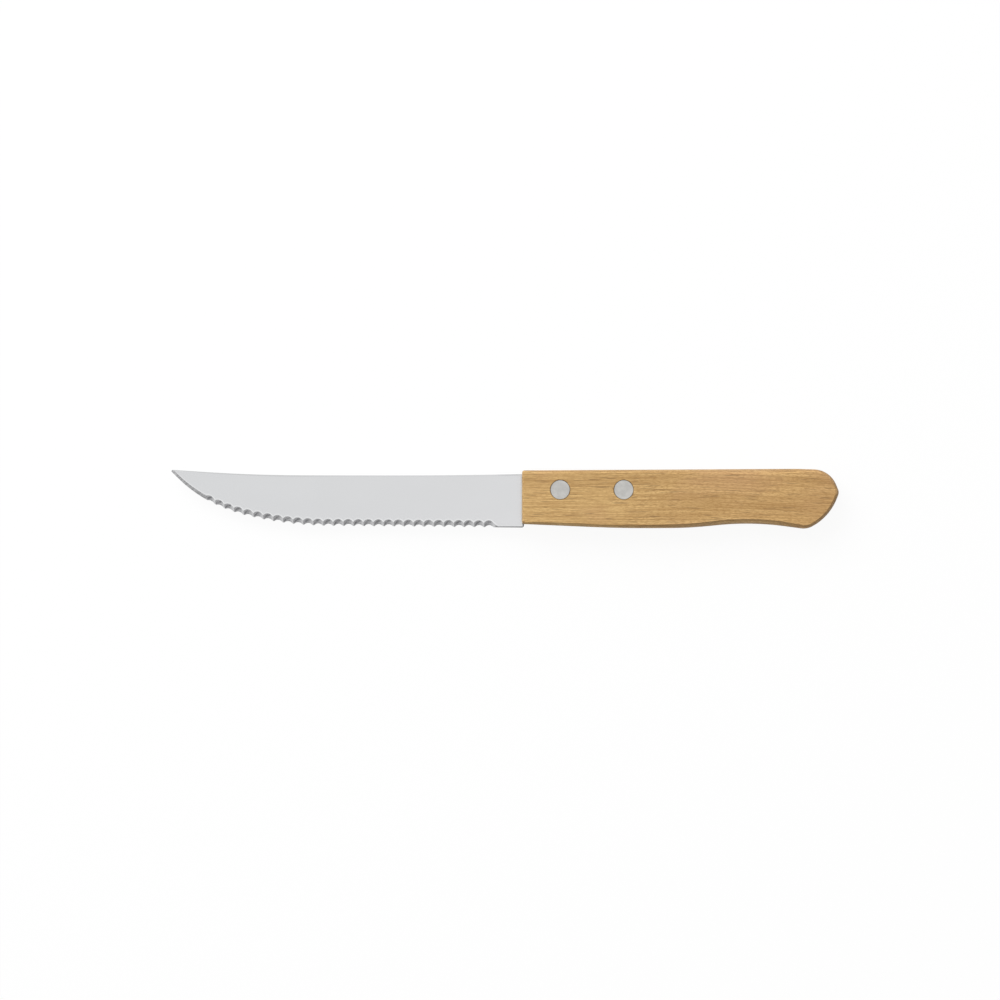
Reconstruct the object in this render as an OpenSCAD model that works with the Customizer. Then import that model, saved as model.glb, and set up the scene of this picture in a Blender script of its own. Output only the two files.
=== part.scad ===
// Steak knife with a stamped, scalloped blade. Its half tang sits in a saw kerf in a one-piece
// wooden handle and is held by two cutler's rivets, each made of a male and a female half.
// The knife lies on its side: +X runs from the point to the butt, +Y to the spine, +Z up.
// The modules draw with x = 0 at the handle's front end, y = 0 at the heel's lower edge and
// z = 0 on the handle's lower flat side; in_frame() then moves the origin under the middle.

/* [Blade] */
// Length of the blade in front of the handle, to the sharp corner of the point
blade_l = 114.8; // [100:0.2:130]
// Height of the blade where it enters the handle
blade_h = 17.4; // [15.5:0.1:19]
// Thickness of the blade's sheet
blade_t = 1.0; // [0.8:0.05:1.4]
// Radius of the very point
point_r = 0.4; // [0.2:0.05:0.8]
// Length of the plain heel in front of the handle
heel_l = 9; // [6:0.5:14]
// Radius of the heel's lower corner
heel_r = 0.7; // [0.2:0.05:0.8]
// Width of the sheared strip along the heel's lower edge
shear_w = 0.35; // [0.2:0.05:0.6]
// Depth of the sheared strip
shear_d = 0.15; // [0.05:0.01:0.25]

/* [Cutting edge] */
// Pitch of the scallops along the edge
scallop_pitch = 3.27; // [2.6:0.01:4.2]
// Radius of the grinding ridge that hollows each scallop
grind_r = 3.0; // [2.6:0.1:4.5]
// Angle between the grind and the blade's side
grind_tilt = 32; // [28:1:40]
// Lean of the grind towards the point
grind_lean = 5.5; // [0:0.5:10]
// How much the blank's edge trims off the teeth
tooth_trim = 0.25; // [0.1:0.05:0.35]
// Length of the plain edge behind the point
plain_edge_l = 15; // [10:0.5:25]
// Width of the bevel along the plain edge
bevel_w = 1.2; // [0.6:0.05:1.6]
// Thickness left at the plain edge
edge_t = 0.1; // [0.05:0.01:0.2]

/* [Tang and kerf] */
// Height of the tang inside the handle
tang_h = 10.2; // [8.5:0.1:12]
// Length of the tang behind the rear rivet
tang_tail = 8; // [6:0.5:12]
// Corner radius of the tang's end
tang_r = 3; // [1:0.5:4]
// How far the blade's heel reaches into the kerf
heel_in = 0.6; // [0.3:0.1:1.5]
// Clearance on each side of the blade in the kerf
kerf_gap = 0.05; // [0.03:0.01:0.15]
// Clearance behind the tang's end
kerf_end_gap = 1.0; // [0.6:0.1:2]
// Radius of the saw that cuts the kerf
saw_r = 60; // [40:1:100]

/* [Handle] */
// Length of the handle
handle_l = 103.3; // [90:0.1:120]
// Thickness of the handle
handle_t = 11.5; // [9.5:0.5:15]
// How far the handle's top stands above the blade's spine
spine_step = 1.2; // [0.8:0.1:2]
// How far the handle's belly hangs below the heel
belly_drop = 0.25; // [0:0.05:1.5]
// Width of the rounding along the handle's long edges
side_round = 0.95; // [0.7:0.05:1.5]
// Width of that rounding at the waist
waist_round = 1.5; // [1:0.1:2]
// Width of the rounding at the front end
front_round = 0.5; // [0.3:0.05:0.8]
// Angle at which the rounding leaves the flat sides, with a ridge between them
ridge_angle = 35; // [0:5:40]
// Radius left at the front corners of the handle's flat sides
flat_corner_r = 0.3; // [0.2:0.05:0.6]
// Length over which the front rounding grows into that of the long edges
round_run = 5; // [3:1:20]

/* [Rivets] */
// Diameter of the rivet heads
head_d = 6.3; // [5.5:0.1:7.5]
// Thickness of the rivet heads
head_t = 1.2; // [0.8:0.1:1.8]
// How deep the heads lie below the handle's sides
head_sink = 0.05; // [0.02:0.01:0.2]
// Break of the heads' outer edges
head_break = 0.12; // [0.05:0.01:0.25]
// Clearance round the heads
head_gap = 0.06; // [0.03:0.01:0.15]
// Outer diameter of the female half's tube
tube_d = 4.2; // [3.6:0.1:4.8]
// Diameter of the male half's shank, pressed into the tube
shank_d = 2.6; // [2:0.1:3]
// Clearance round the tube
tube_gap = 0.05; // [0.03:0.01:0.15]
// Space between the tube's end and the male head
tube_end_gap = 0.5; // [0.2:0.1:1]
// Space between the shank's end and the bottom of the tube
shank_end_gap = 0.8; // [0.4:0.1:1.5]
// Distance of the front rivet behind the handle's front end
rivet_x = 12.4; // [9:0.1:18]
// Distance between the two rivets
rivet_pitch = 20.7; // [16:0.1:26]

/* [Hidden] */

steel = [0.84, 0.84, 0.85];
timber = [0.82, 0.66, 0.45];
rivet_metal = [0.77, 0.78, 0.80];

// How far every cut runs past the piece it cuts
overrun = 0.5;
// Steps in each rounded corner of an outline, and in the handle's edge rounding
corner_steps = 8;
round_steps = 5;
// Longest straight side in the handle's mesh
side_step = 5;

// Corners of the blade in front of the tang: shares of the length in front of the handle, of the
// height at the handle, and for the radius of that length again
point_share = [-1, 1.083];
spine_shares = [[-0.76, 0.977, 4.5], [-0.188, 0.973, 15.5]];
spine_end_r_share = 0.8;
edge_shares = [[-0.66, 0.04, 1.029], [-0.821, 0.285, 0.465], [-0.928, 0.615, 0.391]];

// Corners of the handle, round from the top of its front end: shares of its length, of its height
// above the belly, and for the radius of its height
handle_shares = [
    [0.862, 1, 0.72], [0.97, 0.984, 0.41], [1, 0.607, 0.135], [0.971, 0.204, 0.91], [0.899, -0.016, 0.31],
    [0.722, 0.108, 4.76], [0.527, 0.005, 7.2], [0.312, 0, 20.7]
];
front_top_share = 0.974;
front_bottom_share = 0.071;
// Where the rounding starts to widen to the waist's, has it, starts to narrow and is back
waist_shares = [0.3, 0.68, 0.8, 0.93];
// Part of a side that its two corner arcs may fill
arc_room_share = 0.98;
// Angle by which the bevel's cut runs past the point
bevel_margin = 2;

blade_z = handle_t / 2 - blade_t / 2;
tang_l = rivet_x + rivet_pitch + tang_tail;
rivet_y = blade_h - tang_h / 2;
handle_h = (blade_h + spine_step + belly_drop) / front_top_share;
handle_y = -belly_drop;
kerf_l = tang_l + kerf_end_gap;

function unit(v) = v / norm(v);
function turned(v, a) = [v.x * cos(a) - v.y * sin(a), v.x * sin(a) + v.y * cos(a)];
function wrapped(a) = a - 360 * round(a / 360);
function heading(v) = atan2(v.y, v.x);
function next(i, n) = (i + 1) % n;
function last(i, n) = (i + n - 1) % n;

// Half the angle between the two sides that meet at corner b
function half_angle(a, b, c) = acos(unit(a - b) * unit(c - b)) / 2;

// Radii of a closed outline's corners [x, y, radius], cut back where two arcs would meet on a side
function fitted_radii(corners) =
    let (
        n = len(corners),
        at = [for (c = corners) [c.x, c.y]],
        run = [for (i = [0:n - 1]) corners[i][2] / tan(half_angle(at[last(i, n)], at[i], at[next(i, n)]))],
        room = [for (i = [0:n - 1]) arc_room_share * norm(at[next(i, n)] - at[i]) / (run[i] + run[next(i, n)])]
    )
    [for (i = [0:n - 1]) corners[i][2] * min(1, room[i], room[last(i, n)])];

// Centre of the arc of radius r that rounds corner b
function arc_centre(a, b, c, r) = b + unit(unit(a - b) + unit(c - b)) * r / sin(half_angle(a, b, c));

// Points of that arc, each with the outline's outward normal, for an outline that runs clockwise
function arc_points(a, b, c, r) =
    let (
        centre = arc_centre(a, b, c, r),
        run = r / tan(half_angle(a, b, c)),
        start = b + unit(a - b) * run - centre,
        sweep = wrapped(heading(b + unit(c - b) * run - centre) - heading(start)),
        side = sweep < 0 ? 1 : -1
    )
    [for (k = [0:corner_steps]) let (spoke = turned(start, sweep * k / corner_steps))
        [centre + spoke, unit(spoke) * side]];

// A closed outline with its corners rounded, as [point, normal] pairs
function rounded(corners) =
    let (n = len(corners), at = [for (c = corners) [c.x, c.y]], r = fitted_radii(corners))
    [for (i = [0:n - 1]) each arc_points(at[last(i, n)], at[i], at[next(i, n)], r[i])];

// The same outline with its long straight sides divided
function divided(outline) =
    [for (i = [0:len(outline) - 1])
        let (a = outline[i], b = outline[next(i, len(outline))], parts = ceil(norm(b[0] - a[0]) / side_step))
        each [for (k = [0:max(parts, 1) - 1]) [a[0] + (b[0] - a[0]) * k / parts, a[1]]]];

function points(outline) = [for (p = outline) p[0]];

// Length of an open line up to each of its points
function runs(line, i = 0, so_far = 0) =
    i == len(line) - 1 ? [so_far]
    : concat([so_far], runs(line, i + 1, so_far + norm(line[i + 1] - line[i])));

// The point of an open line at length s, moved by d square to the line, to its left
function along(line, s, d) =
    let (
        run = runs(line),
        i = max([for (k = [0:len(line) - 2]) run[k] <= s ? k : 0]),
        way = unit(line[i + 1] - line[i])
    )
    line[i] + way * (s - run[i]) + d * [-way.y, way.x];

// Outline of the blade, clockwise from the point along the spine
blade_corners = concat(
    [[point_share.x * blade_l, point_share.y * blade_h, point_r]],
    [for (s = spine_shares) [s.x * blade_l, s.y * blade_h, s[2] * blade_l]],
    [
        [0, blade_h, spine_end_r_share * blade_l],
        [tang_l, blade_h, tang_r],
        [tang_l, blade_h - tang_h, tang_r],
        [heel_in, blade_h - tang_h, heel_r],
        [heel_in, 0, heel_r]
    ],
    [for (s = edge_shares) [s.x * blade_l, s.y * blade_h, s[2] * blade_l]]
);
blade_outline = points(rounded(blade_corners));

// Outline of the handle, clockwise from the top of its front end
handle_corners = concat(
    [[0, handle_y + front_top_share * handle_h, front_round + flat_corner_r]],
    [for (s = handle_shares) [s.x * handle_l, handle_y + s.y * handle_h, s[2] * handle_h]],
    [[0, handle_y + front_bottom_share * handle_h, front_round + flat_corner_r]]
);
handle_outline = divided(rounded(handle_corners));

// The cutting edge from the heel's corner to the point, and the arc of its last stretch
corner_count = len(blade_corners);
blade_radii = fitted_radii(blade_corners);
edge_start = corner_count - len(edge_shares);
edge_line = concat(
    [[heel_in, 0]],
    [for (i = [edge_start * (corner_steps + 1):len(blade_outline) - 1]) blade_outline[i]],
    [[blade_corners[0].x, blade_corners[0].y]]
);
function corner_at(i) = [blade_corners[i].x, blade_corners[i].y];
bevel_r = blade_radii[corner_count - 1];
bevel_centre = arc_centre(corner_at(corner_count - 2), corner_at(corner_count - 1), corner_at(0), bevel_r);

// Tooth points, from the heel to the plain edge
edge_l = runs(edge_line)[len(edge_line) - 1];
first_tooth = heel_in + heel_l;
scallops = floor((edge_l - first_tooth - plain_edge_l) / scallop_pitch);
teeth = [for (i = [0:scallops]) along(edge_line, first_tooth + i * scallop_pitch, tooth_trim)];

// The blade's plane seen along the grind, where each scallop is a circle, and back again
function squashed(p) = let (q = turned(p, -grind_lean)) [q.x, q.y * sin(grind_tilt)];
function unsquashed(p) = turned([p.x, p.y / sin(grind_tilt)], grind_lean);

// Where the axis of the grind through tooth points a and b meets the blade's flat side
function grind_centre(a, b) =
    let (
        p = squashed(a),
        q = squashed(b),
        way = unit(q - p),
        half = norm(q - p) / 2
    )
    unsquashed((p + q) / 2 + [-way.y, way.x] * sqrt(grind_r * grind_r - half * half));

// Length of a grind from the blade's flat side to beyond its ground side
grind_reach = grind_r / tan(grind_tilt) + blade_t / sin(grind_tilt) + overrun;

// One hollow grind, cut from the upper side down to the lower
module grind(a, b) {
    centre = grind_centre(a, b);
    translate([centre.x, centre.y, 0]) rotate([0, 0, grind_lean]) rotate([grind_tilt - 90, 0, 0])
        cylinder(h = grind_reach, r = grind_r, $fn = 96);
}

// What the bevel takes off the plain edge: the outside of a cone, from the point to the scallops
module bevel_cut() {
    slope = bevel_w / (blade_t - edge_t);
    low = edge_t - overrun;
    cut_h = blade_t + overrun - low;
    far = bevel_r + bevel_w + overrun;
    point_way = turned(unit(corner_at(0) - bevel_centre), -bevel_margin);
    scallop_way = unit((teeth[scallops] + teeth[scallops - 1]) / 2 - bevel_centre);
    reach = far / (unit(point_way + scallop_way) * scallop_way);
    translate([bevel_centre.x, bevel_centre.y, low]) intersection() {
        difference() {
            cylinder(h = cut_h, r = far, $fn = 180);
            cylinder(h = cut_h, r1 = bevel_r + slope * overrun, r2 = bevel_r - slope * (cut_h - overrun), $fn = 180);
        }
        linear_extrude(cut_h) polygon([[0, 0], reach * point_way, reach * scallop_way]);
    }
}

// The sheared strip along the lower edge of the heel, on the upper side
module shear_cut() {
    translate([-heel_l, 0, blade_t]) rotate([90, 0, 90]) linear_extrude(heel_l + heel_in + overrun) polygon([
        [0, -shear_d], [shear_w, 0], [shear_w, overrun], [-overrun, overrun], [-overrun, -shear_d]
    ]);
}

module rivet_holes(d, h) {
    for (x = [rivet_x, rivet_x + rivet_pitch]) translate([x, rivet_y, 0]) cylinder(h = h, d = d, $fn = 64);
}

// The stamped blade: its sheet, the scallops, the bevel of the plain edge and the tang's holes
module blade() {
    color(steel) in_frame() translate([0, 0, blade_z]) difference() {
        linear_extrude(blade_t) polygon(blade_outline);
        for (i = [0:scallops - 1]) grind(teeth[i], teeth[i + 1]);
        bevel_cut();
        shear_cut();
        translate([0, 0, -overrun]) rivet_holes(tube_d + 2 * tube_gap, blade_t + 2 * overrun);
    }
}

// 0 up to a, 1 from b on and a smooth rise between them
function eased(x, a, b) = let (s = min(1, max(0, (x - a) / (b - a)))) s * s * (3 - 2 * s);

// Width of the handle's rounding at x: small at the front end, wider along the sides, widest at the waist
function edge_round(x) =
    let (
        at = x / handle_l,
        waist = eased(at, waist_shares[0], waist_shares[1]) - eased(at, waist_shares[2], waist_shares[3])
    )
    front_round + (side_round - front_round) * eased(x, 0, round_run) + (waist_round - side_round) * waist;

// Rings of the handle's skin, each [angle of the rounding, side of the middle: 0 below, 1 above].
// The rounding is an arc from the upright side, at angle 0, to the ridge.
top_angle = 90 - ridge_angle;
skin_rings = concat(
    [for (k = [0:round_steps]) [top_angle - top_angle * k / round_steps, 0]],
    [for (k = [0:round_steps]) [top_angle * k / round_steps, 1]]
);
function skin_point(p, ring) =
    let (
        r = edge_round(p[0].x) / (1 - cos(top_angle)),
        at = p[0] - p[1] * r * (1 - cos(ring[0])),
        rise = r * (sin(top_angle) - sin(ring[0]))
    )
    [at.x, at.y, ring[1] == 0 ? rise : handle_t - rise];

module handle_skin() {
    n = len(handle_outline);
    rings = len(skin_rings);
    hub = [handle_l / 2, handle_y + handle_h / 2];
    polyhedron(
        points = concat(
            [for (ring = skin_rings) each [for (p = handle_outline) skin_point(p, ring)]],
            [[hub.x, hub.y, 0], [hub.x, hub.y, handle_t]]
        ),
        faces = concat(
            [for (k = [0:rings - 2]) each [for (i = [0:n - 1]) each [
                [k * n + i, k * n + next(i, n), (k + 1) * n + next(i, n)],
                [k * n + i, (k + 1) * n + next(i, n), (k + 1) * n + i]
            ]]],
            [for (i = [0:n - 1]) [rings * n, next(i, n), i]],
            [for (i = [0:n - 1]) [rings * n + 1, (rings - 1) * n + i, (rings - 1) * n + next(i, n)]]
        )
    );
}

// The saw kerf, open at the front and along the top and bottom, with the round end that a saw leaves
module kerf_cut() {
    translate([0, 0, blade_z - kerf_gap]) linear_extrude(blade_t + 2 * kerf_gap) intersection() {
        translate([kerf_l - saw_r, handle_y + handle_h / 2]) circle(r = saw_r, $fn = 180);
        translate([-overrun, handle_y - handle_h]) square([kerf_l + 2 * overrun, 3 * handle_h]);
    }
}

// The one-piece wooden handle with its kerf, rivet holes and counterbores
module handle() {
    color(timber) in_frame() difference() {
        handle_skin();
        kerf_cut();
        translate([0, 0, -overrun]) rivet_holes(tube_d + 2 * tube_gap, handle_t + 2 * overrun);
        translate([0, 0, -overrun]) rivet_holes(head_d + 2 * head_gap, overrun + head_sink + head_t);
        translate([0, 0, handle_t - head_sink - head_t])
            rivet_holes(head_d + 2 * head_gap, overrun + head_sink + head_t);
    }
}

// A rivet head standing on its outer face, then what it carries, all from z = 0 upwards
module female_half() {
    tube_l = handle_t - 2 * head_sink - head_t - tube_end_gap;
    rotate_extrude($fn = 64) polygon([
        [0, 0],
        [head_d / 2 - head_break, 0],
        [head_d / 2, head_break],
        [head_d / 2, head_t],
        [tube_d / 2, head_t],
        [tube_d / 2, tube_l],
        [shank_d / 2, tube_l],
        [shank_d / 2, head_t],
        [0, head_t]
    ]);
}

module male_half() {
    shank_l = handle_t - 2 * head_sink - head_t - shank_end_gap;
    rotate_extrude($fn = 64) polygon([
        [0, 0],
        [head_d / 2 - head_break, 0],
        [head_d / 2, head_break],
        [head_d / 2, head_t],
        [shank_d / 2, head_t],
        [shank_d / 2, shank_l - head_break],
        [shank_d / 2 - head_break, shank_l],
        [0, shank_l]
    ]);
}

// The female half comes up from the lower side, the male half down from the upper
module rivet_female(x) {
    color(rivet_metal) in_frame() translate([x, rivet_y, head_sink]) female_half();
}

module rivet_male(x) {
    color(rivet_metal) in_frame() translate([x, rivet_y, handle_t - head_sink]) rotate([180, 0, 0]) male_half();
}

// Moves the origin to the middle of the knife's footprint
handle_points = points(handle_outline);
all_points = concat(blade_outline, handle_points);
low_x = min([for (p = all_points) p.x]);
high_x = max([for (p = all_points) p.x]);
low_y = min([for (p = all_points) p.y]);
high_y = max([for (p = all_points) p.y]);
module in_frame() {
    translate([-(low_x + high_x) / 2, -(low_y + high_y) / 2, 0]) children();
}

blade();
handle();
rivet_female(rivet_x);  // front_rivet_female
rivet_male(rivet_x);  // front_rivet_male
rivet_female(rivet_x + rivet_pitch);  // rear_rivet_female
rivet_male(rivet_x + rivet_pitch);  // rear_rivet_male
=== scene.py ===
"""Steak knife: scalloped steel blade, waisted wooden handle, two cutler's rivets of two halves each.

Lengths are in metres. The outlines are drawn in the knife's own plane, with x = 0 at the handle's
front end and y = 0 at the heel's lower edge, and `plane_shift` moves them onto the frame's solids.
"""

import math

import bmesh
import bpy
import numpy as np
from bpy.props import FloatProperty, FloatVectorProperty, PointerProperty
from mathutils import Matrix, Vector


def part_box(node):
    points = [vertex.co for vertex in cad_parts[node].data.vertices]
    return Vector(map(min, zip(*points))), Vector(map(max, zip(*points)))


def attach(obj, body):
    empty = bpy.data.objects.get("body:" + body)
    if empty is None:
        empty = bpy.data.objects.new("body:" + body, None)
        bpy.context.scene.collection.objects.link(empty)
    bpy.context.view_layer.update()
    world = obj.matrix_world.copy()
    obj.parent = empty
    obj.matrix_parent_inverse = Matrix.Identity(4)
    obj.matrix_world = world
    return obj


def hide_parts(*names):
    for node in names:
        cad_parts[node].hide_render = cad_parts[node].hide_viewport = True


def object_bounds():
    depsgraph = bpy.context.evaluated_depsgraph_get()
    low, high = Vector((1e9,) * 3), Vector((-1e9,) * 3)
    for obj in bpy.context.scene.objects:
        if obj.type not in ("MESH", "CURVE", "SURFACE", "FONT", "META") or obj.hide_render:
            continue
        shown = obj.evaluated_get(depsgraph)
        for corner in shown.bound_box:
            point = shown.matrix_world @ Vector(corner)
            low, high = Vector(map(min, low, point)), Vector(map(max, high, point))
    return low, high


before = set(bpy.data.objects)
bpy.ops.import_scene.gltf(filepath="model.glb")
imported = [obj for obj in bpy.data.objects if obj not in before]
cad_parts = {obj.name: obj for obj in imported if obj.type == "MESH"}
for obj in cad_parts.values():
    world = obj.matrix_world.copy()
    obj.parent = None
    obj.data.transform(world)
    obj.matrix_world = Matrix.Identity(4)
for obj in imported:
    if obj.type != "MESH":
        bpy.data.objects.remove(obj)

bl_info = {
    "name": "Steak knife",
    "version": (1, 0, 0),
    "blender": (4, 5, 0),
    "location": "3D View > Sidebar > Steak knife",
    "description": "Builds the blade, handle and rivets of a steak knife on its frame",
    "category": "Object",
}

CAD_BOX = [list(corner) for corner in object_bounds()]
BLADE_BOX = [np.array(corner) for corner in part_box("blade")]
HANDLE_BOX = [np.array(corner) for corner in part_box("handle")]
RIVET_BOX = [np.array(corner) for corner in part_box("front_rivet_male")]
MM = 0.001

# Corners of the blade in front of the tang: x and radius as shares of its length, y of its height
POINT_SHARE = (-1, 1.083)
SPINE_SHARES = ((-0.76, 0.977, 4.5), (-0.188, 0.973, 15.5))
SPINE_END_RADIUS_SHARE = 0.8
EDGE_SHARES = ((-0.66, 0.04, 1.029), (-0.821, 0.285, 0.465), (-0.928, 0.615, 0.391))

# Corners of the handle from the top of its front end, clockwise: x as a share of its length, y and
# radius of its height
HANDLE_SHARES = (
    (0.862, 1, 0.72),
    (0.97, 0.984, 0.41),
    (1, 0.607, 0.135),
    (0.971, 0.204, 0.91),
    (0.899, -0.016, 0.31),
    (0.722, 0.108, 4.76),
    (0.527, 0.005, 7.2),
    (0.312, 0, 20.7),
)
FRONT_TOP_SHARE = 0.974
FRONT_BOTTOM_SHARE = 0.071
# Where the handle's edge rounding starts to widen to the waist's, has it, starts to narrow and is back
WAIST_SHARES = (0.3, 0.68, 0.8, 0.93)
# How much of a side its two arcs may take, and the parts of an arc, finer on the blade's surface
ARC_ROOM_SHARE = 0.98
ARC_STEPS = 16
BLADE_ARC_STEPS = 20
# Parts round the blade's holes and round the handle's and the rivets, and from what angle a crease
# stays sharp on the blade and on the other pieces
HOLE_PARTS = 64
ROUND_PARTS = 96
STEEL_CREASE = math.radians(18)
SOFT_CREASE = math.radians(30)
# Where the waves of each rivet's uneven outline start, and how far the male half's are moved
HEAD_PHASES = {"front": 0.6, "rear": 2.4}
HALF_PHASE = 1.7
# The blade's columns across a scallop and at the heel's end, and the grid that they keep to
SCALLOP_COLUMNS = 24
HEEL_COLUMNS = 18
COLUMN_GRID = 0.002 * MM
# Where a column's rows lie: down the flat side, up the ground strip, over the rim and up the face
FLAT_ROWS = np.array([0.25, 0.5, 0.75, 1])
STRIP_ROWS = np.linspace(0, 1, 9)
RIM_ROWS = np.array([0, 0.22, 1])
FACE_ROWS = np.array([0.01, 0.03, 0.06, 0.1, 0.18, 0.4, 0.7, 0.96, 1])
# Over what length the sheared strip sets in, how far it climbs the heel's end, of the blade's height,
# and its steepness there
SHEAR_RAMP = 0.5 * MM
HEEL_END_SHARE = 0.14
HEEL_END_STEEPNESS = 0.75
# The bevel's width at the point, of its full width, and where it has that, of the plain edge
BEVEL_POINT_SHARE = 0.68
BEVEL_GROWTH_SHARE = 0.85
# A line below everything and a height above everything, for what isn't there
NOWHERE = -1.0
FAR = 1.0
# How much painted shade darkens the handle's rounding towards the spine and towards the butt
SPINE_PAINTED_SHADE = 0.23
BUTT_PAINTED_SHADE = 0.45

# From where to where along the knife the point's bevel grows lighter, the shade on the spine fades and
# comes back, the wood's rear grain sets in and the wood turns browner
DARK_POINT = (-0.109, -0.098)
SPINE_FADE = (-0.07, -0.05)
SPINE_RETURN = (-0.006, 0.001)
REAR = (0.03, 0.05)
BUTT = (0.02, 0.1)
# Colours of shaded steel, of the faint tint towards the point and of redder patches in the wood
DARK_STEEL = (0.1, 0.1, 0.1)
POINT_TINT = (0.3, 0.35, 0.35)
RED_WOOD = (0.55, 0.3, 0.17)
# The middle of a hollow's painted shade: its rise where the swing is 0, how it climbs with
# the swing, and the turn of the blotches about the upright axis
HOLLOW_SHADE_MIDDLE = 0.64
HOLLOW_SHADE_CLIMB = 0.42
BLOTCH_TURN = -0.65
# Broad stains in the wood: middle and reach along and across the handle, and how much darker or,
# below 0, lighter they are
STAINS = (
    ((0.032, 0.007), (0.036, 0.0055), 0.21),
    ((0.06, 0.0016), (0.024, 0.0022), 0.18),
    ((0.07, -0.0012), (0.026, 0.0022), -0.36),
    ((0.026, -0.006), (0.04, 0.0055), 0.12),
)
# Layers of the grain: cells to the metre along x, y and z, detail, roughness, and how dark they make
# the wood at the front and behind
GRAIN = {
    "bands": ((7, 300, 240), 2, 0.5, 0.22, 0.45),
    "streaks": ((40, 900, 700), 4, 0.6, 0.2, 0.3),
    "short": ((150, 5200, 4000), 3, 0.6, 0.55, 0.0),
    "long": ((30, 3500, 2700), 3, 0.6, 0.6, 0.7),
    "flecks": ((750, 3300, 2600), 2, 0.6, 0.4, 0.6),
}

# Directions to the middle of the sky's light, for matte surfaces and for what metal mirrors
MATTE_WAY = (-0.2, 0.5, 0.84)
MIRRORED_WAY = (-0.35, 0.55, 0.76)
CAMERA_PLACE = (-1.66 * MM, -0.42 * MM, 1.0)
LAMP_PLACE = (-0.45, 0.75, 0.95)
LAMP_SIZE = 0.9
# Radii of the floor's rings, and how far it lies below the knife
FLOOR_RINGS = (0.2, 1.0, 4.0)
FLOOR_DROP = 0.05 * MM


def length(name, about, millimetres):
    kind = {"min": 0, "unit": "LENGTH", "precision": 5}
    return FloatProperty(name=name, description=about, default=millimetres * MM, **kind)


def angle(name, about, degrees):
    return FloatProperty(name=name, description=about, default=math.radians(degrees), unit="ROTATION")


def colour(name, about, rgb):
    kind = {"size": 3, "min": 0, "max": 1, "subtype": "COLOR"}
    return FloatVectorProperty(name=name, description=about, default=rgb, **kind)


def share(name, about, value):
    return FloatProperty(name=name, description=about, default=value, min=0, max=1, subtype="FACTOR")


class KnifeBladeSizes(bpy.types.PropertyGroup):
    length: length("Length", "Blade in front of the handle, to the point's sharp corner", 114.8)
    height: length("Height", "Blade where it enters the handle", 17.4)
    thickness: length("Thickness", "Sheet of the blade", 1.0)
    point_radius: length("Point radius", "Rounding of the very point", 0.4)
    heel: length("Heel", "Plain edge in front of the handle", 9.0)
    heel_in: length("Heel in kerf", "How far the heel reaches into the kerf", 0.6)
    heel_radius: length("Heel radius", "Rounding of the heel's corner", 0.7)
    shear_width: length("Sheared strip", "Width of the sheared strip along the heel", 0.35)
    shear_depth: length("Shear depth", "Depth of the sheared strip", 0.15)
    pitch: length("Scallop pitch", "Distance between the teeth along the edge", 3.27)
    grind_radius: length("Grind radius", "Ridge of the wheel that hollows each scallop", 3.0)
    grind_tilt: angle("Grind tilt", "Angle between grind and blade's side", 32.0)
    grind_lean: angle("Grind lean", "Lean of the grind towards the point", 5.5)
    tooth_trim: length("Tooth trim", "What the blank's edge trims off the teeth", 0.25)
    plain_edge: length("Plain edge", "Edge without scallops behind the point", 15.0)
    bevel_width: length("Bevel width", "Bevel along the plain edge", 1.2)
    rim_width: length("Rim width", "Bright rim above the scallops and the bevel", 0.6)
    edge_thickness: length("Edge thickness", "Steel left at the plain edge", 0.1)
    ground_edge: length("Ground edge", "Steel left at the scallops' edge", 0.03)
    edge_break: length("Edge break", "Rounding of the spine's two edges", 0.1)
    tang_height: length("Tang height", "Tang inside the handle", 10.2)
    tang_tail: length("Tang tail", "Tang behind the rear rivet", 8.0)
    tang_radius: length("Tang radius", "Rounding of the tang's end", 3.0)
    steel: colour("Steel", "Polished side of the blade", (0.708, 0.712, 0.722))
    # Partly a polished rim, partly a painted highlight; it also paints light into the hollows
    rim_and_highlight_steel: colour("Rim", "Polished rim above the scallops", (0.89, 0.895, 0.9))
    # Darker than the polished side: partly the ground finish, partly painted shade in the hollows
    ground_and_shaded_steel: colour("Ground steel", "Steel in the hollow of a scallop", (0.6, 0.6, 0.61))
    # The colour of the painted shade in each hollow
    shaded_steel: colour("Shaded steel", "Streaks in each hollow", (0.26, 0.26, 0.27))
    # Dimmed to near black on the sheared strip: partly its duller steel, partly painted shade
    edge_steel: colour("Edge steel", "Plain edge's bevel, darker on the sheared strip", (0.59, 0.59, 0.6))


class KnifeHandleSizes(bpy.types.PropertyGroup):
    length: length("Length", "Handle from front end to butt", 103.3)
    spine_step: length("Spine step", "How far its top stands above the blade's spine", 1.2)
    belly_drop: length("Belly drop", "How far its belly hangs below the heel", 0.25)
    side_round: length("Side rounding", "Width of the rounding along the long edges", 0.95)
    waist_round: length("Waist rounding", "Width of the rounding at the waist", 1.5)
    front_round: length("Front rounding", "Width of the rounding at the front end", 0.5)
    ridge_angle: angle("Ridge angle", "Angle of the rounding to the flat sides", 35.0)
    ridge_break: length("Ridge break", "Width of the worn strip along that ridge", 0.05)
    flat_corner: length("Flat corner", "Radius of the flat sides' front corners", 0.3)
    round_run: length("Rounding run", "Length over which the front rounding widens", 5.0)
    kerf_gap: length("Kerf gap", "Clearance on each side of the blade", 0.05)
    kerf_end_gap: length("Kerf end gap", "Clearance behind the tang", 1.0)
    saw_radius: length("Saw radius", "Saw that cuts the kerf", 60.0)
    light_wood: colour("Light wood", "Early wood between the streaks", (0.815, 0.553, 0.236))
    dark_wood: colour("Dark wood", "Streaks of the grain", (0.36, 0.19, 0.06))
    butt_wood: colour("Butt wood", "Browner wood towards the butt", (0.745, 0.478, 0.2))
    # Also the colour of the painted shade on the handle's edges, round the rivets' heads and behind the
    # heel
    pores_and_shade: colour("Pores", "Open pores and the dirt in them", (0.2, 0.11, 0.045))


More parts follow.
